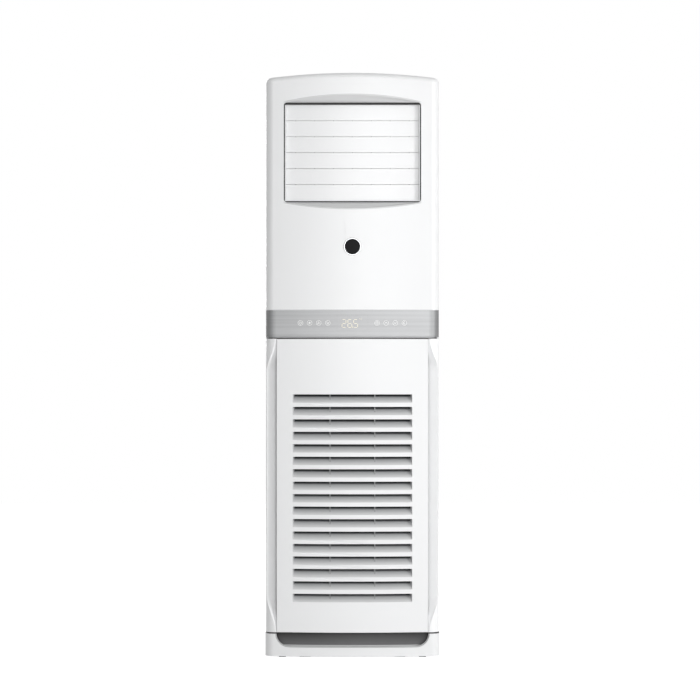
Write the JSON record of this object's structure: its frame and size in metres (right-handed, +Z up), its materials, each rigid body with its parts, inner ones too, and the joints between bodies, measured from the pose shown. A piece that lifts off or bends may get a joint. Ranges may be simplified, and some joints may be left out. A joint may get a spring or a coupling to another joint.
{
  "type": "floor standing air conditioner",
  "caption": "Tall floor-standing cabinet air conditioner: bowed front, louvred discharge outlet with closing blades, brushed control band and a hinged intake panel over a filter and blower.",
  "frame": {"origin": "on the floor under the middle of the object's bounding box", "axes": "+Z up along the height, -Y out of the front, +X to the right seen from the front; +Y is the shortest extent"},
  "size_m": [0.524, 0.33, 1.75],
  "materials": {
    "white_moulding": "satin white moulded plastic",
    "white_steel": "white powder-coated sheet steel",
    "plinth_plastic": "white moulded plastic",
    "rubber": "black rubber",
    "galvanised": "zinc-coated sheet steel",
    "silver_band": "brushed silver, lines run across",
    "display_tint": "smoked window that matches the band",
    "key_inlay": "pale round touch keys",
    "circuit_board": "green circuit board",
    "bright_metal": "polished ring",
    "badge_face": "plain bare dark disc",
    "gasket_foam": "black foam seal",
    "outlet_plastic": "white plastic",
    "blade_white": "satin white",
    "vane_plastic": "dark grey plastic",
    "motor_case": "grey motor case",
    "duct_foam": "moulded foam",
    "filter_plastic": "dark plastic frame",
    "filter_net": "fine dark net",
    "blower_plastic": "grey moulded plastic",
    "shaft_steel": "bright steel",
    "fin_aluminium": "bare fins",
    "copper": null,
    "brass": "plain brass",
    "hose": "ribbed grey drain hose",
    "terminal": "cream terminal block"
  },
  "bodies": {
    "cabinet": {"top_cover": "white_moulding", "left_side_panel": "white_steel", "right_side_panel": "white_steel", "rear_panel": "white_steel", "base_plinth": "plinth_plastic", "rubber_feet": "rubber", "base_pan": "galvanised", "left_grip_post": "white_moulding", "right_grip_post": "white_moulding", "control_fascia": "silver_band", "display_window": "display_tint", "touch_keys": "key_inlay", "display_board": "circuit_board", "upper_front_panel": "white_moulding", "outlet_surround": "white_moulding", "badge_ring": "bright_metal", "badge_disc": "badge_face", "outlet_gasket": "gasket_foam", "outlet_frame": "outlet_plastic", "blade_motor": "motor_case", "vane_motor": "motor_case", "outlet_duct": "duct_foam", "scroll_housing": "blower_plastic", "bell_mouth": "blower_plastic", "motor_bracket": "galvanised", "fan_motor": "motor_case", "blower_deck": "galvanised", "drain_pan": "duct_foam", "drain_hose": "hose", "coil_fins": "fin_aluminium", "coil_end_plates": "galvanised", "coil_tubes": "copper", "refrigerant_pipes": "copper", "flare_nuts": "brass", "pipe_grommet": "rubber", "wall_bracket": "galvanised", "screws": "shaft_steel", "control_box": "galvanised", "control_box_cover": "galvanised", "terminal_block": "terminal"},
    "intake_panel": {"intake_panel": "white_moulding"},
    "filter": {"filter_frame": "filter_plastic", "filter_mesh": "filter_net"},
    "blade_1": {"louvre_blade_1": "blade_white"},
    "blade_2": {"louvre_blade_2": "blade_white"},
    "blade_3": {"louvre_blade_3": "blade_white"},
    "blade_4": {"louvre_blade_4": "blade_white"},
    "blade_5": {"louvre_blade_5": "blade_white"},
    "blade_6": {"louvre_blade_6": "blade_white"},
    "blade_link": {"blade_tie_bar": "outlet_plastic"},
    "vane_1": {"air_vane_1": "vane_plastic"},
    "vane_2": {"air_vane_2": "vane_plastic"},
    "vane_3": {"air_vane_3": "vane_plastic"},
    "vane_4": {"air_vane_4": "vane_plastic"},
    "vane_5": {"air_vane_5": "vane_plastic"},
    "vane_6": {"air_vane_6": "vane_plastic"},
    "vane_7": {"air_vane_7": "vane_plastic"},
    "vane_link": {"vane_tie_bar": "outlet_plastic"},
    "blower": {"blower_wheel": "blower_plastic", "blower_shaft": "shaft_steel"}
  },
  "joints": [
    {"name": "intake_panel_hinge", "type": "hinge", "parent": "cabinet", "child": "intake_panel", "pos_m": [0, -0.133, 0.081], "axis": [1, 0, 0], "range_deg": [0, 25]},
    {"name": "filter_slide", "type": "slide", "parent": "intake_panel", "child": "filter", "axis": [0, 0, 1], "range_m": [0, 0.1]},
    {"name": "blade_1_pivot", "type": "hinge", "parent": "cabinet", "child": "blade_1", "pos_m": [0, -0.13301, 1.63187], "axis": [1, 0, 0], "range_deg": [0, 85]},
    {"name": "blade_2_pivot", "type": "hinge", "parent": "cabinet", "child": "blade_2", "pos_m": [0, -0.13301, 1.58403], "axis": [1, 0, 0], "range_deg": [0, 85]},
    {"name": "blade_3_pivot", "type": "hinge", "parent": "cabinet", "child": "blade_3", "pos_m": [0, -0.13301, 1.53618], "axis": [1, 0, 0], "range_deg": [0, 85]},
    {"name": "blade_4_pivot", "type": "hinge", "parent": "cabinet", "child": "blade_4", "pos_m": [0, -0.13301, 1.48832], "axis": [1, 0, 0], "range_deg": [0, 85]},
    {"name": "blade_5_pivot", "type": "hinge", "parent": "cabinet", "child": "blade_5", "pos_m": [0, -0.13301, 1.44047], "axis": [1, 0, 0], "range_deg": [0, 85]},
    {"name": "blade_6_pivot", "type": "hinge", "parent": "cabinet", "child": "blade_6", "pos_m": [0, -0.13301, 1.39263], "axis": [1, 0, 0], "range_deg": [0, 85]},
    {"name": "blade_link_pivot", "type": "hinge", "parent": "blade_3", "child": "blade_link", "pos_m": [-0.2077, -0.12101, 1.53618], "axis": [1, 0, 0], "range_deg": [-85, 0]},
    {"name": "vane_1_pivot", "type": "hinge", "parent": "cabinet", "child": "vane_1", "pos_m": [-0.17126, -0.081, 1.51225], "axis": [0, 0, 1], "range_deg": [-40, 40]},
    {"name": "vane_2_pivot", "type": "hinge", "parent": "cabinet", "child": "vane_2", "pos_m": [-0.11417, -0.081, 1.51225], "axis": [0, 0, 1], "range_deg": [-40, 40]},
    {"name": "vane_3_pivot", "type": "hinge", "parent": "cabinet", "child": "vane_3", "pos_m": [-0.05709, -0.081, 1.51225], "axis": [0, 0, 1], "range_deg": [-40, 40]},
    {"name": "vane_4_pivot", "type": "hinge", "parent": "cabinet", "child": "vane_4", "pos_m": [0, -0.081, 1.51225], "axis": [0, 0, 1], "range_deg": [-40, 40]},
    {"name": "vane_5_pivot", "type": "hinge", "parent": "cabinet", "child": "vane_5", "pos_m": [0.05709, -0.081, 1.51225], "axis": [0, 0, 1], "range_deg": [-40, 40]},
    {"name": "vane_6_pivot", "type": "hinge", "parent": "cabinet", "child": "vane_6", "pos_m": [0.11417, -0.081, 1.51225], "axis": [0, 0, 1], "range_deg": [-40, 40]},
    {"name": "vane_7_pivot", "type": "hinge", "parent": "cabinet", "child": "vane_7", "pos_m": [0.17126, -0.081, 1.51225], "axis": [0, 0, 1], "range_deg": [-40, 40]},
    {"name": "vane_link_pivot", "type": "hinge", "parent": "vane_4", "child": "vane_link", "pos_m": [0, -0.069, 1.36085], "axis": [0, 0, 1], "range_deg": [-40, 40]},
    {"name": "blower_spin", "type": "hinge", "parent": "cabinet", "child": "blower", "pos_m": [0, 0, 0.455], "axis": [0, 1, 0], "continuous": true}
  ],
  "couplings": [
    {"joint": "blade_1_pivot", "follows": "blade_3_pivot", "ratio": 1},
    {"joint": "blade_2_pivot", "follows": "blade_3_pivot", "ratio": 1},
    {"joint": "blade_4_pivot", "follows": "blade_3_pivot", "ratio": 1},
    {"joint": "blade_5_pivot", "follows": "blade_3_pivot", "ratio": 1},
    {"joint": "blade_6_pivot", "follows": "blade_3_pivot", "ratio": 1},
    {"joint": "blade_link_pivot", "follows": "blade_3_pivot", "ratio": -1},
    {"joint": "vane_1_pivot", "follows": "vane_4_pivot", "ratio": 1},
    {"joint": "vane_2_pivot", "follows": "vane_4_pivot", "ratio": 1},
    {"joint": "vane_3_pivot", "follows": "vane_4_pivot", "ratio": 1},
    {"joint": "vane_5_pivot", "follows": "vane_4_pivot", "ratio": 1},
    {"joint": "vane_6_pivot", "follows": "vane_4_pivot", "ratio": 1},
    {"joint": "vane_7_pivot", "follows": "vane_4_pivot", "ratio": 1},
    {"joint": "vane_link_pivot", "follows": "vane_4_pivot", "ratio": -1}
  ]
}
